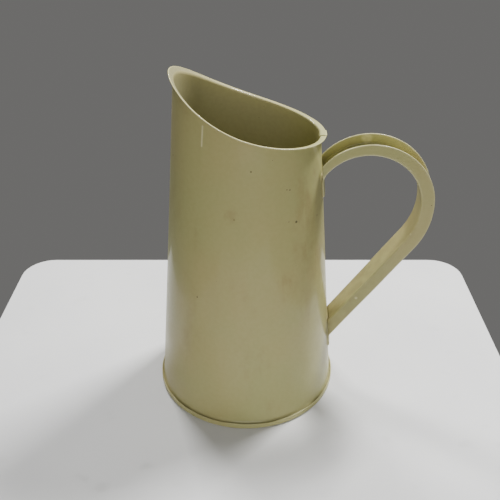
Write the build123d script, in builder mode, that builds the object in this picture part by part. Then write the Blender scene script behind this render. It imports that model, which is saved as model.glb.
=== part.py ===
# Large water jug in painted sheet steel: a tapered body with a scooped pouring mouth and a
# turned-out lip, a base disc seamed on round the foot, and a handle of folded channel.
#
# Millimetres. The origin is the centre of the foot, on the plane the jug stands on. +Z is up,
# the pouring tip is on -X, the handle is on +X, and the XZ plane cuts the jug in half.

import os
from math import atan2, cos, degrees, hypot, radians, sin

from build123d import *

os.makedirs("parts", exist_ok=True)

# Sheet and solder thicknesses
body_sheet = 0.7
handle_sheet = 0.9
solder_film = 0.2

# Body: round at the foot, oval at the mouth, straight-sided between them
foot_radius = 58.7
mouth_height = 215.0
mouth_half_length = 40.6
mouth_half_width = 33.0

# Mouth: the top of the lip is a wave of three harmonics round the oval, low at the handle
rim_mean_height = 193.5
rim_swing = 17.5
rim_scoop = 3.9
rim_peak = 0.5

# Lip: how far it reaches out, how far it is turned and how softly, at the three places that
# shape it, with the rest a wave between them
lip_reach = {"handle": 2.6, "side": 1.5, "tip": 2.7}
lip_turn = {"handle": 82.0, "side": 75.0, "tip": 48.0}
lip_bend = {"handle": 0.5, "side": 0.8, "tip": 2.5}

# Base: a double seam, with the foot of the wall folded up inside the skirt of the disc
skirt_radius = 60.0
skirt_height = 4.0
hem_height = 3.3
panel_underside = 3.0
inner_skirt_radius = 57.4
seam_clearance = 0.05
fold_round = 0.8
skirt_edge_round = 0.25
base_solder_reach = 2.0
base_solder_height = 1.8
base_solder_bite = 0.15

# Side seam: the sheet's end lapped inside the wall, in line with the handle
lap_start_angle = -4.0
lap_end_angle = 5.0
lap_foot = 6.0
lap_bite = 0.3

# Handle: a channel with its web round the hand hole and its flanges pointing outwards, cut
# shallow at the upper root and deepening to the elbow
channel_width = 18.2
flange_depth = {"root": 4.6, "top": 7.1, "elbow": 8.2}
channel_corner = 1.3
grip_centre = (73.2, 138.5)
grip_radius = 31.2
elbow_angle = 5.5
elbow_radius = 42.6
strut_slope = 55.9
strut_length = 95.0
upper_root_angle = 170.0
flange_clearance = 1.0

# Handle tabs: the web carried on flat against the body beyond the flanges
tab_width = 14.8
tab_corner = 2.0
upper_tab_bottom = 141.0
upper_tab_top = 156.0
lower_tab_bottom = 28.0
lower_tab_top = 51.5
solder_margin = 0.5

length_taper = (foot_radius - mouth_half_length) / mouth_height
width_taper = (foot_radius - mouth_half_width) / mouth_height


def wall_radius(angle, height):
    """Distance from the axis to the outer face of the wall."""
    half_length = foot_radius - length_taper * height
    half_width = foot_radius - width_taper * height
    turn = radians(angle)
    return half_length * half_width / hypot(half_width * cos(turn), half_length * sin(turn))


def oval_angle(angle):
    """Angle round the oval of the mouth at this angle round the axis, from 0 at the handle."""
    turn = radians(angle)
    return atan2(mouth_half_length * sin(turn), mouth_half_width * cos(turn))


def rim_height(angle):
    """Height of the top of the lip."""
    turn = oval_angle(angle)
    swing = rim_swing * cos(turn) + rim_peak * cos(3 * turn)
    return rim_mean_height - swing + rim_scoop * cos(2 * turn)


def lip_wave(places, angle):
    """Value at this angle of something given at the handle, the side and the tip."""
    turn = oval_angle(angle)
    ends = (places["handle"] + places["tip"]) / 2
    lean_to_handle = (places["handle"] - places["tip"]) / 2
    middle = (ends + places["side"]) / 2
    return middle + lean_to_handle * cos(turn) + (ends - middle) * cos(2 * turn)


def lip_shape(angle):
    """Bend radius of the lip's underside, its turn from upright and its flat beyond the bend."""
    bend = lip_wave(lip_bend, angle)
    turn = radians(lip_wave(lip_turn, angle))
    flat = (lip_wave(lip_reach, angle) - bend * (1 - cos(turn))) / sin(turn)
    return bend, turn, flat


def radial_plane(angle):
    """Upright plane through the axis: local x is outwards and local y is up."""
    turn = radians(angle)
    return Plane(origin=(0, 0, 0), x_dir=(cos(turn), sin(turn), 0), z_dir=(sin(turn), -cos(turn), 0))


def wall_line(angle, foot):
    """Foot and top of the wall's outer face, and its lean from upright, in a radial plane."""
    lean = atan2(wall_radius(angle, foot) - wall_radius(angle, mouth_height), mouth_height - foot)
    bend, turn, flat = lip_shape(angle)
    lip_rise = (bend + body_sheet) * sin(turn) + flat * cos(turn) + bend * sin(lean)
    top = rim_height(angle) - lip_rise
    return (wall_radius(angle, foot), foot), (wall_radius(angle, top), top), lean


def draw_sheet(angle, foot, face, back):
    """Outline of the sheet between two depths inside its outer face, lip included."""
    bottom, top, lean = wall_line(angle, foot)
    bend, turn, flat = lip_shape(angle)
    centre = (top[0] + bend * cos(lean), top[1] + bend * sin(lean))
    start = 180 + degrees(lean)
    sweep_angle = -degrees(turn + lean)
    face_arc = CenterArc(centre, bend + face, start, sweep_angle)
    back_arc = CenterArc(centre, bend + back, start, sweep_angle)
    face_flat = PolarLine(face_arc @ 1, flat, angle=90 - degrees(turn))
    back_flat = PolarLine(back_arc @ 1, flat, angle=90 - degrees(turn))
    CenterArc((face_flat @ 1 + back_flat @ 1) / 2, (back - face) / 2, -degrees(turn), 180)
    Polyline(
        face_arc @ 0,
        (bottom[0] - face / cos(lean), foot),
        (bottom[0] - back / cos(lean), foot),
        back_arc @ 0,
    )


def jug_envelope(allowance):
    """Solid filled jug body, this much bigger all round than the wall's outer face."""
    with BuildPart() as envelope:
        with BuildSketch(Plane.XY):
            Circle(foot_radius + allowance)
        with BuildSketch(Plane.XY.offset(mouth_height)):
            Ellipse(mouth_half_length + allowance, mouth_half_width + allowance)
        loft(ruled=True)
    return envelope.part


# Body wall: one rolled sheet with its lip, its side lap and the fold at its foot
with BuildPart() as body_wall:
    for section_angle in range(-15, 196, 15):
        with BuildSketch(radial_plane(section_angle)):
            with BuildLine():
                draw_sheet(section_angle, body_sheet + seam_clearance, 0, body_sheet)
            make_face()
    loft()
    split(bisect_by=Plane.XZ, keep=Keep.BOTTOM)
    mirror(about=Plane.XZ)
    with BuildSketch(Plane.XZ):
        with BuildLine():
            hem_foot = body_sheet + seam_clearance
            hem_radius = skirt_radius - body_sheet - seam_clearance
            Polyline(
                (foot_radius - body_sheet / 2, hem_foot),
                (hem_radius, hem_foot),
                (hem_radius, hem_height),
                (foot_radius - body_sheet, hem_height),
                close=True,
            )
        make_face()
    revolve(axis=Axis.Z)
    for section_angle in (lap_start_angle, (lap_start_angle + lap_end_angle) / 2, lap_end_angle):
        with BuildSketch(radial_plane(section_angle)):
            with BuildLine():
                draw_sheet(section_angle, lap_foot, body_sheet - lap_bite, 2 * body_sheet)
            make_face()
    loft()
body_wall.part.label = "body_wall"
export_step(body_wall.part, "parts/body_wall.step")

# Base disc: a raised panel, folded down inside the wall and up round its foot
with BuildPart() as base_disc:
    with BuildSketch(Plane.XZ) as base_profile:
        with BuildLine():
            Polyline(
                (0, panel_underside),
                (inner_skirt_radius - body_sheet, panel_underside),
                (inner_skirt_radius - body_sheet, 0),
                (skirt_radius, 0),
                (skirt_radius, skirt_height),
                (skirt_radius - body_sheet, skirt_height),
                (skirt_radius - body_sheet, body_sheet),
                (inner_skirt_radius, body_sheet),
                (inner_skirt_radius, panel_underside + body_sheet),
                (0, panel_underside + body_sheet),
                close=True,
            )
        make_face()
        feet = base_profile.vertices().group_by(Axis.Y)[0]
        fillet(feet, fold_round)
        skirt_edge = base_profile.vertices().group_by(Axis.Y)[-1]
        fillet(skirt_edge, skirt_edge_round)
    revolve(axis=Axis.Z)
base_disc.part.label = "base_disc"
export_step(base_disc.part, "parts/base_disc.step")

# Base seam solder: a fillet sealing the panel to the inside of the wall
with BuildPart() as base_seam_solder:
    with BuildSketch(Plane.XZ):
        with BuildLine():
            seal_top = panel_underside + body_sheet
            inside_folds = inner_skirt_radius - body_sheet + 2 * base_solder_bite
            inside_wall = foot_radius - body_sheet - base_solder_bite
            Polyline(
                (inner_skirt_radius - base_solder_reach, seal_top),
                (inside_folds, panel_underside),
                (inside_wall, panel_underside),
                (inside_wall, seal_top + base_solder_height),
                close=True,
            )
        make_face()
    revolve(axis=Axis.Z)
    add(base_disc.part, mode=Mode.SUBTRACT)
    add(body_wall.part, mode=Mode.SUBTRACT)
base_seam_solder.part.label = "base_seam_solder"
export_step(base_seam_solder.part, "parts/base_seam_solder.step")

# Side seam solder: a fillet in the step where the lap ends inside the body
with BuildPart() as side_seam_solder:
    for section_angle, depth in ((lap_end_angle - 0.3, body_sheet), (lap_end_angle + 1.2, 0.1)):
        with BuildSketch(radial_plane(section_angle)):
            with BuildLine():
                foot_point, top_point, _ = wall_line(section_angle, lap_foot)
                face_depth = body_sheet - lap_bite
                back_depth = body_sheet + depth
                Polyline(
                    (foot_point[0] - face_depth, foot_point[1]),
                    (top_point[0] - face_depth, top_point[1]),
                    (top_point[0] - back_depth, top_point[1]),
                    (foot_point[0] - back_depth, foot_point[1]),
                    close=True,
                )
            make_face()
    loft(ruled=True)
    add(body_wall.part, mode=Mode.SUBTRACT)
side_seam_solder.part.label = "side_seam_solder"
export_step(side_seam_solder.part, "parts/side_seam_solder.step")

tab_back = jug_envelope(solder_film)
tab_front = jug_envelope(solder_film + handle_sheet)
film_back = jug_envelope(-lap_bite)
flange_limit = jug_envelope(flange_clearance)


def draw_tab(bottom, top, margin):
    """Tab outline, seen from the handle side."""
    with Locations((0, (bottom + top) / 2)):
        RectangleRounded(tab_width + 2 * margin, top - bottom + 2 * margin, tab_corner)


# Handle tabs: two plates that follow the curve of the wall
with BuildPart() as handle_tabs:
    add(tab_front)
    with BuildSketch(Plane.YZ):
        draw_tab(upper_tab_bottom, upper_tab_top, 0)
        draw_tab(lower_tab_bottom, lower_tab_top, 0)
    extrude(amount=2 * foot_radius, mode=Mode.INTERSECT)
    add(tab_back, mode=Mode.SUBTRACT)


def flange_tip(angle):
    """Point on the outline of the flanges, at this angle round the grip."""
    top_angle = 90.0
    if angle > top_angle:
        share = (upper_root_angle - angle) / (upper_root_angle - top_angle)
        depth = flange_depth["root"] + share * (flange_depth["top"] - flange_depth["root"])
    else:
        share = (top_angle - angle) / (top_angle - elbow_angle)
        depth = flange_depth["top"] + share * (flange_depth["elbow"] - flange_depth["top"])
    reach = grip_radius + depth
    return grip_centre[0] + reach * cos(radians(angle)), grip_centre[1] + reach * sin(radians(angle))


def is_inner_corner(vertex):
    """Whether a vertex of the channel's section is one of its two inside corners."""
    return abs(vertex.Y - handle_sheet) < 0.01 and abs(vertex.X) < channel_width / 2 - handle_sheet / 2


# Handle: the channel is swept round the hand hole, trimmed clear of the body, and its web
# carried in to meet the tabs
with BuildPart() as handle_channel:
    with BuildLine(Plane.XZ) as grip_path:
        upper_arc = CenterArc(grip_centre, grip_radius, upper_root_angle, elbow_angle - upper_root_angle)
        set_back = elbow_radius - grip_radius
        elbow_x = grip_centre[0] - set_back * cos(radians(elbow_angle))
        elbow_z = grip_centre[1] - set_back * sin(radians(elbow_angle))
        elbow_sweep = strut_slope - 90 - elbow_angle
        elbow = CenterArc((elbow_x, elbow_z), elbow_radius, elbow_angle, elbow_sweep)
        PolarLine(elbow @ 1, strut_length, direction=elbow % 1)
    path = grip_path.wire()
    section_plane = Plane(origin=path @ 0, x_dir=(0, 1, 0), z_dir=path % 0)
    with BuildSketch(section_plane) as channel_section:
        with BuildLine():
            half = channel_width / 2
            uncut_depth = flange_depth["elbow"] + handle_sheet
            Polyline(
                (-half, uncut_depth),
                (-half, 0),
                (half, 0),
                (half, uncut_depth),
                (half - handle_sheet, uncut_depth),
                (half - handle_sheet, handle_sheet),
                (handle_sheet - half, handle_sheet),
                (handle_sheet - half, uncut_depth),
                close=True,
            )
        make_face()
        corners = channel_section.vertices().group_by(Axis.Y)
        fillet(corners[0], channel_corner)
        fillet(channel_section.vertices().filter_by(is_inner_corner), channel_corner - handle_sheet)
    sweep(path=path)
    with BuildSketch(Plane.XZ):
        with BuildLine():
            tip_steps = 10
            tip_turn = (upper_root_angle - elbow_angle) / tip_steps
            tips = Spline([flange_tip(upper_root_angle - step * tip_turn) for step in range(tip_steps + 1)])
            elbow_tips = CenterArc(
                (elbow_x, elbow_z), elbow_radius + flange_depth["elbow"], elbow_angle, elbow_sweep
            )
            strut_tips = PolarLine(elbow_tips @ 1, strut_length, direction=elbow_tips % 1)
            Polyline(
                strut_tips @ 1,
                (0, (strut_tips @ 1).Y),
                (0, (tips @ 0).Y),
                tips @ 0,
            )
        make_face()
    extrude(amount=channel_width, both=True, mode=Mode.INTERSECT)
    add(flange_limit, mode=Mode.SUBTRACT)
    with BuildSketch(section_plane):
        with Locations((0, handle_sheet / 2)):
            Rectangle(tab_width, handle_sheet)
    sweep(path=path)
    add(tab_back, mode=Mode.SUBTRACT)
    add(handle_tabs.part)
handle_channel.part.label = "handle_channel"
export_step(handle_channel.part, "parts/handle_channel.step")

# Tab solder: a thin film under each tab, just proud of its edges
with BuildPart() as upper_tab_solder:
    add(tab_back)
    with BuildSketch(Plane.YZ):
        draw_tab(upper_tab_bottom, upper_tab_top, solder_margin)
    extrude(amount=2 * foot_radius, mode=Mode.INTERSECT)
    add(film_back, mode=Mode.SUBTRACT)
    add(body_wall.part, mode=Mode.SUBTRACT)
upper_tab_solder.part.label = "upper_tab_solder"
export_step(upper_tab_solder.part, "parts/upper_tab_solder.step")

with BuildPart() as lower_tab_solder:
    add(tab_back)
    with BuildSketch(Plane.YZ):
        draw_tab(lower_tab_bottom, lower_tab_top, solder_margin)
    extrude(amount=2 * foot_radius, mode=Mode.INTERSECT)
    add(film_back, mode=Mode.SUBTRACT)
    add(body_wall.part, mode=Mode.SUBTRACT)
lower_tab_solder.part.label = "lower_tab_solder"
export_step(lower_tab_solder.part, "parts/lower_tab_solder.step")
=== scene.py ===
import random
from math import pi, radians

import bpy
import numpy as np
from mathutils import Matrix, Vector


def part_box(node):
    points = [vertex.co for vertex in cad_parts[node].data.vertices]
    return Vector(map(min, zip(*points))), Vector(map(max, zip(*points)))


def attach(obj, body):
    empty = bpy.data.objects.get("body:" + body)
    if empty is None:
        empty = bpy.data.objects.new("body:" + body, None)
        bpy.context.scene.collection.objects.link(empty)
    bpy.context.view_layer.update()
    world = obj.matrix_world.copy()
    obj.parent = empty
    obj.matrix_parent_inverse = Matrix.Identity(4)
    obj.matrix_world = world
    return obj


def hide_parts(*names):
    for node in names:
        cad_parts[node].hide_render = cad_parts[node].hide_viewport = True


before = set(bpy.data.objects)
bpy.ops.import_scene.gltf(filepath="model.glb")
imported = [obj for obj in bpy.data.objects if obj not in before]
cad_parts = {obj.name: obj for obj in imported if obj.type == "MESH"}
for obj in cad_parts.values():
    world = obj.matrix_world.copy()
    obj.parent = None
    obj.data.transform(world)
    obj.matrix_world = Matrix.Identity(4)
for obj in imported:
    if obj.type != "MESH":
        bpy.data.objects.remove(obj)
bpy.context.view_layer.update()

# The jug's driving dimensions, in millimetres, as in the CAD
MM = 0.001
body_sheet = 0.7
handle_sheet = 0.9
solder_film = 0.2

foot_radius = 58.7
mouth_height = 215.0
mouth_half_length = 40.6
mouth_half_width = 33.0

rim_mean_height = 193.5
rim_swing = 17.5
rim_scoop = 3.9
rim_peak = 0.5
lip_reach = {"handle": 2.5, "side": 1.4, "tip": 2.3}
lip_turn = {"handle": 88.0, "side": 76.0, "tip": 35.0}
lip_bend = {"handle": 0.5, "side": 0.8, "tip": 2.5}

skirt_radius = 59.98
skirt_height = 4.0
hem_height = 3.3
panel_underside = 3.0
inner_skirt_radius = 57.4
seam_clearance = 0.05

lap_start_angle = -4.0
lap_end_angle = 5.0
lap_extra_sheet = 0.9

channel_width = 18.2
flange_depth = {"root": 4.6, "top": 7.1, "elbow": 8.2}
channel_corner = 1.3
grip_centre = (73.2, 138.5)
grip_radius = 31.2
elbow_angle = 5.5
elbow_radius = 42.6
strut_slope = 55.9
strut_length = 95.0
upper_root_angle = 170.0
flange_clearance = 1.0

tab_width = 14.8
tab_corner = 2.0
upper_tab_bottom = 141.0
lower_tab_bottom = 28.0

# How far the visual's lip sits below the CAD's, and unevenness as waves (size, count, phase)
lip_sink = 0.3
lip_sink_waves = [(0.04, 4, 0.6)]
lip_width_waves = [(0.09, 3, 1.3), (0.06, 7, 0.0), (0.04, 16, 2.0)]
lip_width_share = 0.8
ring_edge_waves = [(0.1, 3, 1.0), (0.07, 11, 0.0), (0.05, 23, 2.0)]
ring_edge_drop = 0.2
flange_waves = [(0.07, 0.05, 1.0), (0.05, 0.13, 0.0)]
flange_drop = 0.12
panel_sag = 0.25

# The same for the wall, with a twist per millimetre of height as well
wall_waves = [
    (0.055, 5, 0.9, 0.006),
    (0.04, 9, 2.1, -0.011),
    (0.018, 17, 0.4, 0.02),
    (0.05, 2, 0.0, 0.035),
]
mean_wall_radius = 48

length_taper = (foot_radius - mouth_half_length) / mouth_height
width_taper = (foot_radius - mouth_half_width) / mouth_height


# ---------------------------------------------------------------- shape of the body

def half_axes(height):
    """Half length and half width of the wall's outer face at a height."""
    return foot_radius - length_taper * height, foot_radius - width_taper * height


def wall_radius(angle, height):
    """Distance from the axis to the wall's outer face; the angle is in radians."""
    half_length, half_width = half_axes(height)
    return half_length * half_width / np.hypot(half_width * np.cos(angle), half_length * np.sin(angle))


def oval_angle(angle):
    """Angle round the oval of the mouth, 0 at the handle."""
    return np.arctan2(mouth_half_length * np.sin(angle), mouth_half_width * np.cos(angle))


def rim_height(angle):
    """Height of the top of the lip."""
    turn = oval_angle(angle)
    swing = rim_swing * np.cos(turn) + rim_peak * np.cos(3 * turn)
    return rim_mean_height - swing + rim_scoop * np.cos(2 * turn)


def lip_wave(places, angle):
    """Value at an angle of something given at the handle, the side and the tip."""
    turn = oval_angle(angle)
    ends = (places["handle"] + places["tip"]) / 2
    middle = (ends + places["side"]) / 2
    lean_to_handle = (places["handle"] - places["tip"]) / 2
    return middle + lean_to_handle * np.cos(turn) + (ends - middle) * np.cos(2 * turn)


def smooth_step(low, high, value):
    """0 at low, 1 at high and smooth between them; it falls where low is the larger."""
    t = np.clip((value - low) / (high - low), 0, 1)
    return t * t * (3 - 2 * t)


def near_angle(angle, centre):
    """Signed difference of two angles in radians, between -pi and pi."""
    return (angle - centre + pi) % (2 * pi) - pi


def degrees_from_handle(angle):
    """Angle from the handle's side to either side, 0 to 180 degrees."""
    return np.degrees(np.abs(near_angle(angle, 0)))


def waves(along, terms):
    """Sum of waves, each given as (size, count, phase)."""
    return sum(size * np.sin(count * along + phase) for size, count, phase in terms)


dent_seed = 7
dent_count = 34
dice = random.Random(dent_seed)
dents = [
    {
        "angle": dice.uniform(0, 2 * pi),
        "height": dice.uniform(20, 175),
        "wide": dice.uniform(5, 14),
        "tall": dice.uniform(9, 34),
        "depth": dice.uniform(-0.16, 0.1),
    }
    for _ in range(dent_count)
]
# Dents placed one by one, so that the reflections bend much as in the picture
dents += [
    {"angle": radians(-129), "height": 86, "wide": 7, "tall": 18, "depth": 0.34},
    {"angle": radians(-112), "height": 90, "wide": 4, "tall": 16, "depth": -0.26},
    {"angle": radians(-97), "height": 84, "wide": 7, "tall": 18, "depth": 0.26},
    {"angle": radians(-60), "height": 95, "wide": 14, "tall": 24, "depth": -0.2},
    {"angle": radians(-124), "height": 183, "wide": 1.6, "tall": 13, "depth": 0.16},
]


def wall_ripple(angle, height):
    """How far the hand-worked sheet stands out from its true shape, in millimetres."""
    ripple = 0
    for size, count, phase, twist in wall_waves:
        ripple = ripple + size * np.sin(count * angle + phase + twist * height)
    for dent in dents:
        along = near_angle(angle, dent["angle"]) * mean_wall_radius / dent["wide"]
        up = (height - dent["height"]) / dent["tall"]
        ripple = ripple + dent["depth"] * np.exp(-0.5 * (along**2 + up**2))
    clear_of_foot = smooth_step(5, 22, height)
    clear_of_rim = 1 - smooth_step(-14, -4, height - rim_height(angle))
    off_handle = smooth_step(radians(9), radians(20), np.abs(near_angle(angle, 0)))
    return ripple * clear_of_foot * clear_of_rim * off_handle


# ---------------------------------------------------------------- mesh helpers

def smooth_object(name, verts, faces, fields):
    """Object from millimetre vertices, smooth shaded, with one float attribute per field."""
    mesh = bpy.data.meshes.new(name)
    mesh.from_pydata([tuple(v) for v in np.asarray(verts) * MM], [], faces)
    mesh.polygons.foreach_set("use_smooth", [True] * len(mesh.polygons))
    for field, values in fields.items():
        attribute = mesh.attributes.new(field, "FLOAT", "POINT")
        attribute.data.foreach_set("value", np.asarray(values, dtype=np.float32).ravel())
    mesh.validate()
    made = bpy.data.objects.new(name, mesh)
    bpy.context.scene.collection.objects.link(made)
    return made


def grid_faces(rows, columns, wrap_rows, wrap_columns, first=0):
    """Quads of a grid of vertices numbered row by row."""
    faces = []
    for row in range(rows if wrap_rows else rows - 1):
        for column in range(columns if wrap_columns else columns - 1):
            a = first + row * columns + column
            b = first + row * columns + (column + 1) % columns
            c = first + (row + 1) % rows * columns + (column + 1) % columns
            d = first + (row + 1) % rows * columns + column
            faces.append((a, b, c, d))
    return faces


def rounded_path(points, radii, steps):
    """Closed outline with its corners rounded by arcs."""
    path = []
    count = len(points)
    for index in range(count):
        corner = np.array(points[index], float)
        before = np.array(points[index - 1], float) - corner
        after = np.array(points[(index + 1) % count], float) - corner
        before /= np.hypot(*before)
        after /= np.hypot(*after)
        half_angle = np.arccos(np.clip(before @ after, -1, 1)) / 2
        radius = radii[index]
        reach = radius / np.tan(half_angle)
        middle = before + after
        centre = corner + middle / np.hypot(*middle) * radius / np.sin(half_angle)
        start = corner + before * reach - centre
        end = corner + after * reach - centre
        turn = np.arctan2(start[0] * end[1] - start[1] * end[0], start @ end)
        for step in range(steps + 1):
            a = turn * step / steps
            c, s = np.cos(a), np.sin(a)
            path.append(centre + np.array([c * start[0] - s * start[1], s * start[0] + c * start[1]]))
    return np.array(path)


# ---------------------------------------------------------------- body wall

wall_foot = body_sheet + seam_clearance
column_spacing = 0.75
wall_steps = 76
bend_steps = 9
edge_round_steps = 7


def column_angles():
    """Angles of the wall's columns, closer together at the two steps of the lap."""
    even = list(np.radians(np.arange(0, 360, column_spacing)))
    steps = [radians(lap_end_angle + d) for d in (-0.12, -0.04, 0.04, 0.12, 0.3)]
    steps += [radians(lap_start_angle + d) for d in (-0.6, -0.3, 0.0)]
    return np.array(sorted(even + [a % (2 * pi) for a in steps]))


def sheet_depth(angle):
    """Thickness of the wall: nearly two sheets at the lap."""
    turn = near_angle(angle, 0)
    start = smooth_step(radians(lap_start_angle - 0.6), radians(lap_start_angle), turn)
    end = 1 - smooth_step(radians(lap_end_angle - 0.04), radians(lap_end_angle + 0.12), turn)
    return body_sheet * (1 + lap_extra_sheet * start * end)


class Lip:
    """The lip at every angle: the top of the wall, the bend outwards and the flat beyond it."""

    def __init__(self, angle):
        self.bend = lip_wave(lip_bend, angle)
        self.turn = np.radians(lip_wave(lip_turn, angle))
        reach_of_bend = self.bend * (1 - np.cos(self.turn))
        flat = (lip_wave(lip_reach, angle) - reach_of_bend) / np.sin(self.turn)
        self.flat = flat + waves(angle, lip_width_waves) * lip_width_share
        narrowing = wall_radius(angle, wall_foot) - wall_radius(angle, mouth_height)
        self.lean = np.arctan2(narrowing, mouth_height - wall_foot)
        rise = (self.bend + body_sheet) * np.sin(self.turn) + self.flat * np.cos(self.turn)
        rise = rise + self.bend * np.sin(self.lean)
        sink = lip_sink + waves(angle, lip_sink_waves)
        self.top = rim_height(angle) - rise - sink
        self.centre_r = wall_radius(angle, self.top) + self.bend * np.cos(self.lean)
        self.centre_z = self.top + self.bend * np.sin(self.lean)

    def point(self, inward, share):
        """Radius and height a share of the way round the bend, this far in from its outer face."""
        sweep = -self.lean + (self.turn + self.lean) * share
        radius = self.centre_r - (self.bend + inward) * np.cos(sweep)
        return radius, self.centre_z + (self.bend + inward) * np.sin(sweep)


class WallRows:
    """Rows of vertices round the jug, each with a radius, a height and three paint fields."""

    def __init__(self, angle):
        self.angle = angle
        self.rows = []

    def add(self, radius, height, rub=0, grime=0, inside=0):
        """Adds a row; each value is one number or has an entry for every column."""
        self.rows.append([value + 0 * self.angle for value in (radius, height, rub, grime, inside)])


def add_hem(rows):
    """The hem that the base's edge is folded over."""
    hem_radius = skirt_radius - body_sheet - seam_clearance
    hem_round = 0.15
    rows.add(hem_radius, wall_foot, grime=1)
    rows.add(hem_radius, hem_height - hem_round, grime=1)
    rows.add(hem_radius - hem_round, hem_height, grime=1)


def add_outer_face(rows, top):
    """The outer face from the hem up to the lip, with painted shade in the groove just above the hem and
    soiled paint near the handle.
    """
    near_handle = smooth_step(58, 12, degrees_from_handle(rows.angle))
    lowest = hem_height + 0.02
    for step in range(wall_steps + 1):
        height = lowest + (top - lowest) * step / wall_steps
        radius = wall_radius(rows.angle, height) + wall_ripple(rows.angle, height)
        # Painted shade along the groove just above the hem, and dirt near the handle
        handled = 0.34 * near_handle * smooth_step(15, 50, height)
        rows.add(radius, height, grime=0.4 * np.exp(-(height - lowest) / 1.6) + handled)


def add_lip(rows, lip, depth):
    """The lip: round the bend, out along the flat, round its cut edge and back."""
    at_tip = smooth_step(110, 165, degrees_from_handle(rows.angle))
    for step in range(1, bend_steps + 1):
        rows.add(*lip.point(0, step / bend_steps))
    out_r = np.sin(lip.turn)
    out_z = np.cos(lip.turn)
    face_r, face_z = lip.point(0, 1)
    back_r, back_z = lip.point(depth, 1)
    for share in (0.4, 0.85, 1):
        along = lip.flat * share
        rows.add(face_r + along * out_r, face_z + along * out_z, rub=0.2 * (share > 0.9))
    middle_r = (face_r + back_r) / 2 + lip.flat * out_r
    middle_z = (face_z + back_z) / 2 + lip.flat * out_z
    for step in range(1, edge_round_steps):
        a = -lip.turn + pi * step / edge_round_steps
        rub = 0.3 + 0.5 * np.sin(pi * step / edge_round_steps)
        rows.add(middle_r + depth / 2 * np.cos(a), middle_z + depth / 2 * np.sin(a), rub)
    # Painted shade on the flare's top face and down into the mouth, strongest at the tip, where a little
    # darkening also dulls the coat
    shade = 0.35 + 0.6 * at_tip
    for share in (1, 0.85, 0.4, 0):
        along = lip.flat * share
        rub = 0.25 * (share > 0.9)
        rows.add(back_r + along * out_r, back_z + along * out_z, rub, 0.12 * at_tip, shade)
    for step in range(bend_steps - 1, -1, -1):
        radius, height = lip.point(depth, step / bend_steps)
        rows.add(radius, height, inside=0.5 - 0.2 * (1 - at_tip) * step / bend_steps)


def add_inner_face(rows, top, depth):
    """The inner face from the lip down to the foot, with painted shade that is darkest away from the
    handle.
    """
    shade_away_from_handle = 0.4 + 0.6 * smooth_step(10, 75, degrees_from_handle(rows.angle))
    inner_foot = wall_foot + 0.5
    for step in range(1, wall_steps + 1):
        height = top + (inner_foot - top) * step / wall_steps
        radius = wall_radius(rows.angle, height) + wall_ripple(rows.angle, height) - depth
        rows.add(radius, height, inside=shade_away_from_handle - 0.5 * np.exp(-(top - height) / 4))
    rows.add(foot_radius - body_sheet, wall_foot, inside=1)


def build_body():
    """The rolled sheet: hem, outer face, lip, inner face, back to the hem."""
    angle = column_angles()
    depth = sheet_depth(angle)
    lip = Lip(angle)
    wall = WallRows(angle)
    add_hem(wall)
    add_outer_face(wall, lip.top)
    add_lip(wall, lip, depth)
    add_inner_face(wall, lip.top, depth)
    radius, height, rub, grime, inside = np.moveaxis(np.array(wall.rows), 1, 0)
    verts = np.stack([radius * np.cos(angle), radius * np.sin(angle), height], axis=-1)
    faces = grid_faces(len(wall.rows), len(angle), True, True)
    fields = {"rub": rub, "grime": grime, "inside": inside}
    body = smooth_object("jug_body", verts.reshape(-1, 3), faces, fields)
    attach(body, "root")
    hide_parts("body_wall")
    return body


# ---------------------------------------------------------------- base disc

def build_base():
    """The seamed base: a raised panel with its edge folded up round the foot of the wall."""
    outline = [
        (inner_skirt_radius - body_sheet, panel_underside),
        (inner_skirt_radius - body_sheet, 0),
        (skirt_radius, 0),
        (skirt_radius, skirt_height),
        (skirt_radius - body_sheet, skirt_height),
        (skirt_radius - body_sheet, body_sheet),
        (inner_skirt_radius, body_sheet),
        (inner_skirt_radius, panel_underside + body_sheet),
    ]
    radii = [0.5, 0.8, 0.8, 0.3, 0.3, 0.1, 0.1, 0.6]
    corner_steps = 6
    ring = rounded_path(outline, radii, corner_steps)
    panel_rings = 14
    panel_reach = ring[0][0]
    panel_radii = [panel_reach * k / panel_rings for k in range(1, panel_rings)]
    under = [(r, panel_underside) for r in panel_radii]
    over = [(r, panel_underside + body_sheet) for r in reversed(panel_radii)]
    profile = np.array(under + [tuple(p) for p in ring] + over)
    count = 360
    angle = np.linspace(0, 2 * pi, count, endpoint=False)
    radius = np.repeat(profile[:, :1], count, axis=1)
    height = np.repeat(profile[:, 1:], count, axis=1)
    upper_edge = smooth_step(3.0, 4.0, height) * (radius > inner_skirt_radius + 0.1)
    height = height + upper_edge * (waves(angle, ring_edge_waves) - ring_edge_drop)
    on_panel = radius < panel_reach - 1
    sag = panel_sag * np.cos(radius / panel_reach * pi / 2) * np.sin(2 * angle + radius * 0.05)
    height = height + on_panel * sag
    standing = np.exp(-((height - 0.1) ** 2) / 0.3) * (radius > inner_skirt_radius)
    edge = np.exp(-((height - skirt_height) ** 2) / 0.08) * (radius > skirt_radius - 1)
    rub = np.clip(0.8 * standing + 0.75 * edge, 0, 1)
    in_fold = (radius < skirt_radius - 0.5) & (radius > inner_skirt_radius - 0.1) & (height > 0.5)
    grime = np.where(in_fold, 1.0, 0.0)
    verts = np.stack([radius * np.cos(angle), radius * np.sin(angle), height], axis=-1).reshape(-1, 3)
    faces = grid_faces(len(profile), count, False, True)
    bottom_centre = len(verts)
    centres = np.array([(0, 0, panel_underside), (0, 0, panel_underside + body_sheet)])
    verts = np.concatenate([verts, centres])
    last = (len(profile) - 1) * count
    for column in range(count):
        beside = (column + 1) % count
        faces.append((column, bottom_centre, beside))
        faces.append((last + column, last + beside, bottom_centre + 1))
    fields = {"rub": np.append(rub.ravel(), (0, 0)), "grime": np.append(grime.ravel(), (0, 0))}
    base = smooth_object("jug_base", verts, faces, fields)
    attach(base, "root")
    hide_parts("base_disc")
    return base


# ---------------------------------------------------------------- handle

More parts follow.
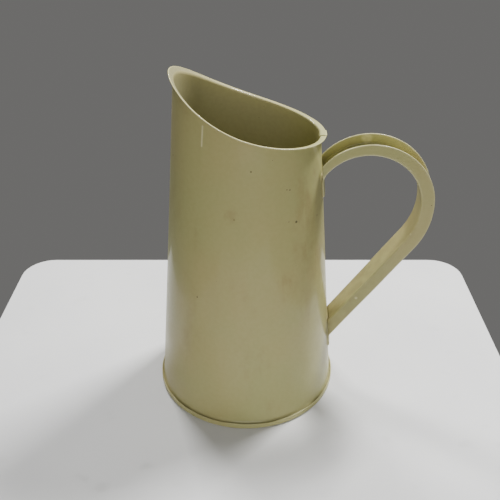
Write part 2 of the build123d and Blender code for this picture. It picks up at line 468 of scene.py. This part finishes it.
elbow_sweep = strut_slope - 90 - elbow_angle
upper_length = radians(upper_root_angle - elbow_angle) * grip_radius
elbow_length = radians(-elbow_sweep) * elbow_radius
path_length = upper_length + elbow_length + strut_length
middle_of_grip = upper_length * 0.6

# Depths in from a cut edge at which its round is drawn, to half the sheet's thickness
edge_steps = (0.0, 0.04, 0.12, 0.24, 0.38, handle_sheet / 2)


def handle_point(along, out):
    """Point in the handle's plane, at a length along the web and a distance out from it."""
    set_back = elbow_radius - grip_radius
    elbow_x = grip_centre[0] - set_back * np.cos(radians(elbow_angle))
    elbow_z = grip_centre[1] - set_back * np.sin(radians(elbow_angle))
    on_arc = radians(upper_root_angle) - along / grip_radius
    on_elbow = radians(elbow_angle) - (along - upper_length) / elbow_radius
    strut_angle = radians(elbow_angle + elbow_sweep)
    past = along - upper_length - elbow_length
    arc_x = grip_centre[0] + (grip_radius + out) * np.cos(on_arc)
    arc_z = grip_centre[1] + (grip_radius + out) * np.sin(on_arc)
    bend_x = elbow_x + (elbow_radius + out) * np.cos(on_elbow)
    bend_z = elbow_z + (elbow_radius + out) * np.sin(on_elbow)
    strut_x = elbow_x + (elbow_radius + out) * np.cos(strut_angle) + past * np.sin(strut_angle)
    strut_z = elbow_z + (elbow_radius + out) * np.sin(strut_angle) - past * np.cos(strut_angle)
    in_elbow = along > upper_length
    in_strut = past > 0
    x = np.where(in_strut, strut_x, np.where(in_elbow, bend_x, arc_x))
    z = np.where(in_strut, strut_z, np.where(in_elbow, bend_z, arc_z))
    return x, z


def wall_gap(x, y, z):
    """How far a point stands outside the wall."""
    return np.hypot(x, y) - wall_radius(np.arctan2(y, x), z)


def tip_depth(along):
    """Depth of the flanges at a length along the web."""
    places = (0.0, radians(upper_root_angle - 90) * grip_radius, upper_length)
    return np.interp(along, places, (flange_depth["root"], flange_depth["top"], flange_depth["elbow"]))


def out_of_web(base, share, along):
    """Distance out from the web's inner face: a base height plus a share of the flange above it."""
    return base + share * (tip_depth(along) - base)


def leaving(inside, outside, is_clear):
    """Length along the handle where a test turns true, found by halving."""
    for _ in range(40):
        middle = (inside + outside) / 2
        if is_clear(middle):
            outside = middle
        else:
            inside = middle
    return outside


def crossing(across, base, share, inside, outside, clearance):
    """Length along the handle where it comes clear of the wall."""

    def is_clear(along):
        x, z = handle_point(along, out_of_web(base, share, along))
        return wall_gap(x, across, z) > clearance

    return leaving(inside, outside, is_clear)


def channel_line():
    """Middle line of the channel's section: across, base, flange share, normal, half thickness, and how
    worn, with a painted highlight at the folds.
    """
    half = channel_width / 2 - handle_sheet / 2
    web_out = handle_sheet / 2
    fold = channel_corner - handle_sheet / 2
    fold_top = web_out + fold
    tall = flange_depth["top"] - fold_top
    marks = []
    tip = handle_sheet / 2
    for d in edge_steps:
        marks.append((-half, fold_top, 1 - d / tall, (1, 0), np.sqrt(tip**2 - (tip - d) ** 2), 1 - d))
    for d in np.linspace(0.8, tall, 6):
        marks.append((-half, fold_top, 1 - d / tall, (1, 0), tip, 0.35 * np.exp(-2 * d)))
    # Round the fold: pale, as a painted highlight along the fold
    for a in np.radians(np.linspace(11.25, 90, 8)):
        normal = (np.cos(a), np.sin(a))
        across = -half + fold - fold * np.cos(a)
        marks.append((across, fold_top - fold * np.sin(a), 0.0, normal, tip, 0.45 * np.sin(2 * a)))
    marks += [(x, web_out, 0.0, (0, 1), tip, 0.0) for x in np.linspace(-half + fold, 0, 7)[1:]]
    mirrored = [(-x, v, s, (-n[0], n[1]), h, w) for x, v, s, n, h, w in marks[:-1]]
    return marks + mirrored[::-1]


def ladder(centre, normal, half_thickness, fields):
    """Closed shell of a strip: rows along it, columns across it, two faces and two ends."""
    rows, columns = half_thickness.shape
    top = centre + normal * half_thickness[..., None]
    bottom = centre - normal * half_thickness[..., None]
    verts = np.concatenate([top.reshape(-1, 3), bottom.reshape(-1, 3)])
    upper = grid_faces(rows, columns, False, False)
    count = rows * columns
    lower = [tuple(v + count for v in reversed(f)) for f in upper]
    faces = upper + lower
    for row, flip in ((0, False), (rows - 1, True)):
        for column in range(columns - 1):
            a = row * columns + column
            quad = (a, a + count, a + 1 + count, a + 1)
            faces.append(tuple(reversed(quad)) if flip else quad)
    for column, flip in ((0, True), (columns - 1, False)):
        for row in range(rows - 1):
            a = row * columns + column
            quad = (a, a + count, a + columns + count, a + columns)
            faces.append(tuple(reversed(quad)) if flip else quad)
    both_faces = {name: np.tile(values.ravel(), 2) for name, values in fields.items()}
    return verts, faces, both_faces


def by_row(columns):
    """Turns a list with one array per column into an array of rows."""
    return np.swapaxes(np.array(columns), 0, 1)


def channel_wear_and_painted_light(along, start, end, across, n_out, wear_and_fold_highlight):
    """Pale worn edges with a painted highlight at the folds, and painted shade, along one line of the
    channel.
    """
    from_end = np.minimum(along - start, end - along)
    rub = wear_and_fold_highlight + 0.4 * np.exp(-from_end / 0.7)
    # Painted shade where the channel's ends meet the wall
    shade_near_wall = 0.7 * np.exp(-from_end / 2.5)
    # Painted shade inside the far flange near the upper root
    far_flange_shade = 0.5 * (across > 0) * smooth_step(52, 8, along - start)
    # Painted shade on the web's flat face from the elbow down
    web_shade = 0.3 * (n_out > 0.99) * smooth_step(upper_length, upper_length + 30, along)
    # Painted shade towards the strut's lower end, for the darker reflection of the shaded table
    strut_shade = 0.4 * smooth_step(95, 10, end - along)
    return rub, shade_near_wall + far_flange_shade + web_shade + strut_shade


def channel_shell():
    """The folded channel, trimmed clear of the wall at both ends."""
    marks = channel_line()
    stations = 170
    share = np.linspace(0, 1, stations)
    least_half = 0.02
    centre, normal, thick, rub, grime = [], [], [], [], []
    for across, base, up, (n_across, n_out), half, wear_and_fold_highlight in marks:
        start = crossing(across, base, up, 0.0, middle_of_grip, flange_clearance)
        end = crossing(across, base, up, path_length, middle_of_grip, flange_clearance)
        along = start + (end - start) * share
        waver = waves(along, flange_waves) - flange_drop
        lift = smooth_step(0, 1, up)
        out = out_of_web(base, up, along)
        x, z = handle_point(along, out + waver * lift * 0.6)
        x_out, z_out = handle_point(along, out + 1.0)
        x_in, z_in = handle_point(along, out)
        y = across + waver * lift * np.sign(across) * 0.8
        centre.append(np.stack([x, y + 0 * x, z], axis=-1))
        outwards = [(x_out - x_in) * n_out, n_across + 0 * x, (z_out - z_in) * n_out]
        normal.append(np.stack(outwards, axis=-1))
        thick.append(np.full(stations, max(half, least_half)))
        rubbed_and_highlit, painted_shade = channel_wear_and_painted_light(along, start, end, across, n_out, wear_and_fold_highlight)
        rub.append(rubbed_and_highlit)
        grime.append(painted_shade)
    fields = {"rub": np.clip(by_row(rub), 0, 1), "grime": by_row(grime)}
    return ladder(by_row(centre), by_row(normal), by_row(thick), fields)


def wall_x(across, height):
    """X of the wall's outer face at this distance across, on the handle's side."""
    half_length, half_width = half_axes(height)
    return half_length * np.sqrt(1 - (across / half_width) ** 2)


def root_line(tab_bottom, along_inside, along_outside, along_end):
    """Tab and web in the handle's plane: up the wall, round a bend and along the web."""
    stand_off = solder_film + handle_sheet / 2
    web_middle = handle_sheet / 2

    def is_clear(along):
        x, z = handle_point(along, web_middle)
        return x - wall_x(0, z) > stand_off

    meet = leaving(along_inside, along_outside, is_clear)
    x_meet, z_meet = handle_point(meet, web_middle)
    sign = 1 if along_end > meet else -1
    reach = 5.0
    x_web, z_web = handle_point(meet + sign * reach, web_middle)
    z_tab = z_meet - reach
    heights = np.linspace(tab_bottom, z_tab, 26)
    tab = [(wall_x(0, z) + stand_off, z, 1.0) for z in heights]
    bend = []
    for t in np.linspace(0, 1, 12)[1:]:
        start, middle, end = (1 - t) ** 2, 2 * t * (1 - t), t**2
        x = start * tab[-1][0] + middle * x_meet + end * x_web
        z = start * z_tab + middle * z_meet + end * z_web
        bend.append((float(x), float(z), 1 - smooth_step(0, 1, t)))
    web = []
    for s in np.linspace(meet + sign * reach, along_end, 10)[1:]:
        x, z = handle_point(s, web_middle)
        web.append((float(x), float(z), 0.0))
    return np.array(tab + bend + web)


def root_shell(tab_bottom, along_inside, along_outside, along_end):
    """A tab lying on the wall, bent off it into the web of the channel."""
    line = root_line(tab_bottom, along_inside, along_outside, along_end)
    tangent = np.gradient(line[:, :2], axis=0)
    tangent /= np.hypot(tangent[:, 0], tangent[:, 1])[:, None]
    outward = np.stack([tangent[:, 1], -tangent[:, 0]], axis=-1)
    half = handle_sheet / 2
    reach = tab_width / 2
    edge = [reach - d for d in edge_steps]
    across = np.array([-e for e in edge] + list(np.linspace(-reach + 0.9, reach - 0.9, 15)) + edge[::-1])
    depth_in = reach - np.abs(across)
    thick = np.where(depth_in < half, np.sqrt(np.maximum(half**2 - (half - depth_in) ** 2, 0)), half)
    from_end = np.maximum(line[:, 1] - tab_bottom, 0)
    into_corner = np.maximum(tab_corner - from_end, 0)
    corner = tab_corner - np.sqrt(tab_corner**2 - into_corner**2)
    scale = (reach - corner) / reach
    hug = line[:, 2][:, None]
    y = across[None, :] * scale[:, None]
    height = line[:, 1][:, None] + 0 * y
    sag = (wall_x(0, height) - wall_x(y, height)) * hug
    x = line[:, 0][:, None] - sag
    centre = np.stack([x, y, height], axis=-1)
    slope = np.gradient(sag, axis=1) / np.gradient(y, axis=1)
    normal = np.stack([outward[:, :1] + 0 * y, slope, outward[:, 1:] + 0 * y], axis=-1)
    normal /= np.linalg.norm(normal, axis=-1)[..., None]
    tip = np.clip(from_end / half, 0.05, 1)
    end_round = np.sqrt(np.maximum(1 - (1 - tip) ** 2, 0.01))[:, None]
    tucked = 1 - 0.03 * (hug < 0.02)
    thickness = np.maximum(thick[None, :] * end_round * tucked, 0.02)
    rub = 0.9 * (depth_in < half)[None, :] * (hug > 0.02) + 0.5 * np.exp(-from_end / 0.7)[:, None]
    grime = 0.3 * hug + 0 * y
    return ladder(centre, normal, thickness, {"rub": np.clip(rub, 0, 1), "grime": grime})


def build_handle():
    """The handle: the channel and the two tabs that its web is bent into."""
    upper_end_angle = 138
    upper_end = radians(upper_root_angle - upper_end_angle) * grip_radius
    web_clearance = 2.4
    web_end = crossing(0.0, handle_sheet / 2, 0.0, path_length, middle_of_grip, web_clearance)
    tab_overlap = 3.0
    shells = [
        channel_shell(),
        root_shell(upper_tab_bottom, 0.0, upper_length * 0.5, upper_end),
        root_shell(lower_tab_bottom, path_length, middle_of_grip, web_end - tab_overlap),
    ]
    verts, faces, rub, grime = [], [], [], []
    for shell_verts, shell_faces, fields in shells:
        first = sum(len(v) for v in verts)
        verts.append(shell_verts)
        faces += [tuple(v + first for v in f) for f in shell_faces]
        rub.append(fields["rub"])
        grime.append(fields["grime"])
    fields = {"rub": np.concatenate(rub), "grime": np.concatenate(grime)}
    handle = smooth_object("jug_handle", np.concatenate(verts), faces, fields)
    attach(handle, "root")
    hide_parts("handle_channel")
    return handle


def build_tab_solder(name, node, bottom):
    """Paint-covered solder round a tab: a thin fillet from the tab's edge down to the wall."""
    solder_margin = 0.5
    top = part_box(node)[1][2] / MM - solder_margin
    outline = []
    corner_steps = 8
    half = tab_width / 2
    middle = (bottom + top) / 2
    tall = (top - bottom) / 2
    for quarter in range(4):
        for step in range(corner_steps + 1):
            a = pi / 2 * (quarter + step / corner_steps)
            side = np.sign(np.cos(pi / 4 + quarter * pi / 2))
            end = np.sign(np.sin(pi / 4 + quarter * pi / 2))
            outline.append((side * (half - tab_corner), end * (tall - tab_corner), np.cos(a), np.sin(a)))
    dice_here = random.Random(bottom)
    # The fillet's section as (distance out from the tab's edge, height off the wall)
    fillet = ((-0.9, 0.05), (-0.25, 0.62), (0.0, 0.55), (0.25, 0.3), (0.6, 0.1), (1.0, -0.05))
    verts = []
    spread = [dice_here.uniform(0.8, 1.15) for _ in outline]
    for inset, rise in fillet:
        for (x, z, c, s), wide in zip(outline, spread):
            reach = tab_corner + (inset * wide if inset > 0 else inset)
            across = x + reach * c
            height = middle + z + reach * s
            verts.append((wall_x(across, height) + rise, across, height))
    faces = grid_faces(len(fillet), len(outline), True, True)
    solder = smooth_object(name, verts, faces, {"rub": [0] * len(verts), "grime": [0.5] * len(verts)})
    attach(solder, "root")
    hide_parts(node)
    return solder


# ---------------------------------------------------------------- materials

class Graph:
    """Small helper that adds linked shader nodes to a material."""

    def __init__(self, name):
        self.material = bpy.data.materials.new(name)
        self.material.use_nodes = True
        self.tree = self.material.node_tree
        self.shader = self.tree.nodes["Principled BSDF"]
        self.coords = self.tree.nodes.new("ShaderNodeTexCoord").outputs["Object"]

    def link(self, source, socket):
        self.tree.links.new(source, socket)

    def scaled(self, scale):
        mapping = self.tree.nodes.new("ShaderNodeMapping")
        mapping.inputs["Scale"].default_value = scale
        self.link(self.coords, mapping.inputs["Vector"])
        return mapping.outputs["Vector"]

    def noise(self, vector, scale, detail=3.0, roughness=0.5):
        node = self.tree.nodes.new("ShaderNodeTexNoise")
        self.link(vector, node.inputs["Vector"])
        node.inputs["Scale"].default_value = scale
        node.inputs["Detail"].default_value = detail
        node.inputs["Roughness"].default_value = roughness
        return node.outputs["Fac"]

    def spot(self, place, size):
        """1 within a small ball round a place in metres, 0 outside it."""
        node = self.tree.nodes.new("ShaderNodeVectorMath")
        node.operation = "DISTANCE"
        self.link(self.coords, node.inputs[0])
        node.inputs[1].default_value = place
        solid_part = 0.4
        return self.ramp(node.outputs["Value"], size * solid_part, size, 1.0, 0.0)

    def attribute(self, name):
        node = self.tree.nodes.new("ShaderNodeAttribute")
        node.attribute_name = name
        return node.outputs["Fac"]

    def ramp(self, value, low, high, at_low=0.0, at_high=1.0):
        node = self.tree.nodes.new("ShaderNodeMapRange")
        node.interpolation_type = "SMOOTHSTEP"
        self.link(value, node.inputs["Value"])
        node.inputs["From Min"].default_value = low
        node.inputs["From Max"].default_value = high
        node.inputs["To Min"].default_value = at_low
        node.inputs["To Max"].default_value = at_high
        return node.outputs["Result"]

    def math(self, operation, a, b):
        node = self.tree.nodes.new("ShaderNodeMath")
        node.operation = operation
        for value, socket in ((a, node.inputs[0]), (b, node.inputs[1])):
            if isinstance(value, (int, float)):
                socket.default_value = value
            else:
                self.link(value, socket)
        return node.outputs["Value"]

    def times(self, a, b):
        return self.math("MULTIPLY", a, b)

    def mix(self, share, a, b):
        node = self.tree.nodes.new("ShaderNodeMix")
        node.data_type = "RGBA"
        self.link(share, node.inputs["Factor"])
        colour_a = 6
        colour_b = 7
        for value, socket in ((a, node.inputs[colour_a]), (b, node.inputs[colour_b])):
            if isinstance(value, tuple):
                socket.default_value = (*value, 1)
            else:
                self.link(value, socket)
        colour_result = 2
        return node.outputs[colour_result]

    def bump(self, height, distance, strength, after=None):
        node = self.tree.nodes.new("ShaderNodeBump")
        node.inputs["Distance"].default_value = distance
        node.inputs["Strength"].default_value = strength
        self.link(height, node.inputs["Height"])
        if after is not None:
            self.link(after, node.inputs["Normal"])
        return node.outputs["Normal"]


khaki = (0.412, 0.382, 0.156)
khaki_warm = (0.425, 0.372, 0.155)
khaki_green = (0.395, 0.384, 0.157)
khaki_pale = (0.68, 0.64, 0.355)
khaki_brown = (0.3, 0.215, 0.085)
# Darker khaki for the painted shade inside the mouth
khaki_inside_shade = (0.285, 0.27, 0.148)
undercoat = (0.07, 0.055, 0.03)
# Dark brown for dirt and for painted shade
dirt_and_shade_colour = (0.13, 0.105, 0.05)
solder_brown = (0.27, 0.235, 0.115)
board_grey = (0.63, 0.63, 0.63)
board_pale = (0.69, 0.69, 0.68)
board_mark = (0.5, 0.5, 0.48)


def enamel_tone(g, stain_marks):
    """Khaki in patches and streaks, stained brown in places, with painted shade inside the mouth."""
    patches = g.ramp(g.noise(g.coords, 14.0, 4.0), 0.35, 0.65)
    tone = g.mix(patches, khaki_warm, khaki_green)
    streaks = g.ramp(g.noise(g.scaled((1, 1, 0.07)), 120.0, 3.0), 0.4, 0.7)
    tone = g.mix(g.times(streaks, 0.5), tone, khaki)
    stain = g.ramp(g.noise(g.scaled((1, 1, 0.4)), 45.0, 5.0, 0.62), 0.55, 0.74)
    tone = g.mix(g.times(stain, 0.3), tone, khaki_brown)
    mottle = g.ramp(g.noise(g.scaled((1, 1, 0.35)), 130.0, 5.0, 0.65), 0.42, 0.62)
    for place, size in stain_marks:
        share = g.times(g.spot(place, size), g.times(mottle, 0.3))
        tone = g.mix(share, tone, khaki_brown)
    # Painted shade inside the mouth, from the mesh's inside field
    tone = g.mix(g.times(g.attribute("inside"), 0.85), tone, khaki_inside_shade)
    fine = g.ramp(g.noise(g.coords, 420.0, 2.0), 0.3, 0.7)
    return g.mix(g.times(fine, 0.05), tone, khaki_pale)


def dirt_and_shade_share(g):
    """Broken-up darkening from the mesh's field: soiled paint in places and painted shade in others."""
    broken = g.ramp(g.noise(g.coords, 160.0, 4.0), 0.3, 0.7, 0.5, 1.0)
    return g.times(g.attribute("grime"), broken)


def rubbed_and_highlit_tone(g, tone, rub, rub_noise, pale_and_highlight_marks):
    """Pale along worn edges, as painted highlights at the handle's folds, and at the listed marks, which
    are pale spots and painted highlights; the marks fade out inside the mouth.
    """
    tone = g.mix(g.times(rub, 0.75), tone, khaki_pale)
    outside = g.math("SUBTRACT", 1.0, g.attribute("inside"))
    strength = g.times(g.times(rub_noise, 0.75), outside)
    for place, size in pale_and_highlight_marks:
        tone = g.mix(g.times(g.spot(place, size), strength), tone, khaki_pale)
    return tone


def chip_share(g, chip_marks):
    """Sparse specks where the paint is off, and the chips at given places."""
    specks = g.ramp(g.noise(g.coords, 420.0, 1.0), 0.8, 0.82)
    sparse = g.ramp(g.noise(g.coords, 20.0, 1.0), 0.5, 0.6)
    chips = g.times(specks, sparse)
    for place, size in chip_marks:
        chips = g.math("MAXIMUM", chips, g.spot(place, size))
    return chips


def enamel_gloss(g, grime, rub, chips):
    """A clear coat that is duller where the paint is soiled, worn or given painted shade."""
    rough = g.ramp(g.noise(g.coords, 48.0, 4.0), 0.3, 0.7, 0.42, 0.55)
    g.link(g.math("ADD", rough, g.times(chips, 0.3)), g.shader.inputs["Roughness"])
    g.shader.inputs["Specular IOR Level"].default_value = 0.2
    g.link(g.ramp(grime, 0, 1, 0.35, 0.05), g.shader.inputs["Coat Weight"])
    coat_rough = g.ramp(g.noise(g.scaled((1, 1, 0.3)), 36.0, 3.0), 0.35, 0.7, 0.07, 0.13)
    g.link(g.math("ADD", coat_rough, g.times(rub, 0.08)), g.shader.inputs["Coat Roughness"])


def enamel_relief(g, chips):
    """Orange peel, upright brush marks and hollow chips."""
    peel = g.bump(g.noise(g.coords, 330.0, 2.0), 0.0003, 0.05)
    brush = g.bump(g.noise(g.scaled((1, 1, 0.08)), 150.0, 3.0), 0.0004, 0.07, peel)
    chipped = g.bump(g.times(chips, -1.0), 0.0004, 0.5, brush)
    g.link(chipped, g.shader.inputs["Normal"])
    g.link(chipped, g.shader.inputs["Coat Normal"])


def paint(name, chip_marks=(), pale_and_highlight_marks=(), stain_marks=()):
    """Gloss enamel over sheet steel, streaked, stained, chipped and worn pale along its edges, with
    painted shade and painted highlights in places.

    Each mark is (place, size) in metres.
    """
    g = Graph(name)
    grime = dirt_and_shade_share(g)
    # Darkened towards dark brown for dirt and for painted shade
    tone = g.mix(g.times(grime, 0.75), enamel_tone(g, stain_marks), dirt_and_shade_colour)
    rub_noise = g.ramp(g.noise(g.coords, 260.0, 4.0), 0.3, 0.65, 0.55, 1.0)
    rub = g.times(g.attribute("rub"), rub_noise)
    tone = rubbed_and_highlit_tone(g, tone, rub, rub_noise, pale_and_highlight_marks)
    chips = chip_share(g, chip_marks)
    g.link(g.mix(g.times(chips, 0.8), tone, undercoat), g.shader.inputs["Base Color"])
    enamel_gloss(g, grime, rub, chips)
    enamel_relief(g, chips)
    return g.material


def solder_paint(name):
    """The same enamel over lumpy solder, duller and dirtier."""
    g = Graph(name)
    lumps = g.ramp(g.noise(g.coords, 150.0, 4.0), 0.3, 0.7)
    tone = g.mix(lumps, solder_brown, khaki)
    specks = g.ramp(g.noise(g.coords, 420.0, 3.0), 0.6, 0.75)
    tone = g.mix(g.times(specks, 0.5), tone, dirt_and_shade_colour)
    g.link(tone, g.shader.inputs["Base Color"])
    g.link(g.ramp(lumps, 0, 1, 0.45, 0.3), g.shader.inputs["Roughness"])
    g.link(g.bump(g.noise(g.coords, 240.0, 3.0), 0.0006, 0.35), g.shader.inputs["Normal"])
    return g.material


def table_top(name):
    """Pale matt board with faint marks."""
    g = Graph(name)
    cloud = g.ramp(g.noise(g.coords, 7.0, 3.0), 0.3, 0.7)
    tone = g.mix(cloud, board_grey, board_pale)
    marks = g.ramp(g.noise(g.coords, 60.0, 5.0), 0.6, 0.75)
    tone = g.mix(g.times(marks, 0.15), tone, board_mark)
    g.link(tone, g.shader.inputs["Base Color"])
    g.link(g.ramp(marks, 0, 1, 0.55, 0.7), g.shader.inputs["Roughness"])
    g.link(g.bump(g.noise(g.coords, 300.0, 2.0), 0.0003, 0.08), g.shader.inputs["Normal"])
    return g.material


def coat(piece, material):
    """Gives a piece or a CAD node its material."""
    if piece.material_slots:
        for material_slot in piece.material_slots:
            material_slot.material = material
    else:
        piece.data.materials.append(material)


# ---------------------------------------------------------------- marks in the paint

# Small chips in the wall's paint, as (angle in degrees, height, size)
wall_chips = [
    (-45.4, 137.8, 1.1),
    (-81.7, 171.3, 0.6),
    (-159.7, 169.7, 0.6),
    (-95.1, 143.2, 0.5),
    (-52.6, 158.7, 0.5),
    (-50.0, 158.2, 0.6),
    (-52.0, 139.2, 0.5),
    (-21.9, 135.0, 0.6),
]
# A painted highlight: a pale streak under the mouth where the picture has a highlight, given the same
# way
wall_highlight_streak = [(-124.1, height, 0.75) for height in np.linspace(183, 194, 20)]
# Brownish stains, most of them on the handle's side, given the same way
wall_stains = [
    (-30.0, 158.0, 16.0),
    (-34.0, 140.0, 15.0),
    (-36.0, 120.0, 14.0),
    (-58.0, 98.0, 12.0),
    (-98.0, 145.0, 6.0),
    (-22.0, 104.0, 14.0),
]
# Two pale spots on the handle's near flange, and a painted highlight for the glint on the far one, in
# metres
handle_pale_spots_and_glint = [
    ((0.1004, -0.0091, 0.1192), 0.0012),
    ((0.0717, -0.0091, 0.0704), 0.0013),
    ((0.0709, 0.0082, 0.1738), 0.0042),
]
# Stains near the handle's two roots, in metres
handle_stains = [((0.061, -0.007, 0.068), 0.012), ((0.064, -0.005, 0.16), 0.012)]


def on_wall(marks):
    """Turns marks on the wall's outer face into (place, size) in metres."""
    placed = []
    for angle, height, size in marks:
        turn = radians(angle)
        radius = float(wall_radius(turn, height))
        place = (radius * np.cos(turn) * MM, radius * np.sin(turn) * MM, height * MM)
        placed.append((place, size * MM))
    return placed


# ---------------------------------------------------------------- stage

camera_turn = 0.0695
camera_tilt = 0.5522
camera_place = (0.02868, -0.37783, 0.33169)
focal_length = 49.86
sensor_width = 36

# The table top, in metres, in axes turned with the camera
table_near = -0.38
table_far = 0.1425
table_left = -0.194
table_right = 0.185
table_corner = 0.024
table_height = -0.0001

room_grey = (0.152, 0.15, 0.146, 1)
jug_middle = (0.0, 0.0, 0.08)
# Soft square lights, as (name, place, size, power)
lights = [
    ("back_left", (-0.3, 0.55, 0.9), 0.2, 9.0),
    ("back_right", (0.42, 0.42, 0.98), 0.22, 23.0),
    ("overhead", (0.1, -0.1, 1.5), 1.3, 2.0),
    ("front", (0.2, -1.25, 0.4), 0.9, 7.0),
]


def build_stage():
    """The table top, its back edge square to the camera and its back corners rounded."""
    outline = [(table_left, table_near), (table_right, table_near)]
    corners = ((table_right - table_corner, 0), (table_left + table_corner, 90))
    for corner_x, first_angle in corners:
        for a in np.radians(np.linspace(first_angle, first_angle + 90, 9)):
            x = corner_x + table_corner * np.cos(a)
            outline.append((x, table_far - table_corner + table_corner * np.sin(a)))
    c = np.cos(camera_turn)
    s = np.sin(camera_turn)
    places = [(c * x - s * y, s * x + c * y, table_height) for x, y in outline]
    mesh = bpy.data.meshes.new("table_top")
    mesh.from_pydata(places, [], [tuple(range(len(places)))])
    floor = bpy.data.objects.new("table_top", mesh)
    bpy.context.scene.collection.objects.link(floor)
    coat(floor, table_top("table_board"))


def add_light(name, place, size, power):
    """Square soft light at a place, turned to face the jug."""
    data = bpy.data.lights.new(name, "AREA")
    data.size = size
    data.energy = power
    light = bpy.data.objects.new(name, data)
    light.location = place
    facing = Vector(jug_middle) - Vector(place)
    light.rotation_euler = facing.to_track_quat("-Z", "Y").to_euler()
    bpy.context.scene.collection.objects.link(light)


def build_light():
    """Grey room, two small lights high behind the jug, a broad one overhead and one in front."""
    world = bpy.data.worlds.new("room")
    bpy.context.scene.world = world
    world.use_nodes = True
    backdrop = world.node_tree.nodes["Background"]
    backdrop.inputs["Color"].default_value = room_grey
    backdrop.inputs["Strength"].default_value = 1.0
    for light in lights:
        add_light(*light)


def build_camera():
    """Camera at the picture's viewing angle."""
    data = bpy.data.cameras.new("camera")
    data.sensor_width = sensor_width
    data.lens = focal_length
    camera = bpy.data.objects.new("camera", data)
    camera.location = camera_place
    camera.rotation_euler = (pi / 2 - camera_tilt, 0, camera_turn)
    bpy.context.scene.collection.objects.link(camera)
    bpy.context.scene.camera = camera


# ---------------------------------------------------------------- putting it together

body_marks = (on_wall(wall_chips), on_wall(wall_highlight_streak), on_wall(wall_stains))
coat(build_body(), paint("body_enamel", *body_marks))
coat(build_base(), paint("base_enamel"))
coat(build_handle(), paint("handle_enamel", (), handle_pale_spots_and_glint, handle_stains))
for side, tab_bottom in (("upper", upper_tab_bottom), ("lower", lower_tab_bottom)):
    solder = build_tab_solder(side + "_solder", side + "_tab_solder", tab_bottom)
    coat(solder, solder_paint(side + "_solder_enamel"))
for seam_node in ("side_seam_solder", "base_seam_solder"):
    coat(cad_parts[seam_node], solder_paint(seam_node + "_enamel"))

build_stage()
build_light()
build_camera()
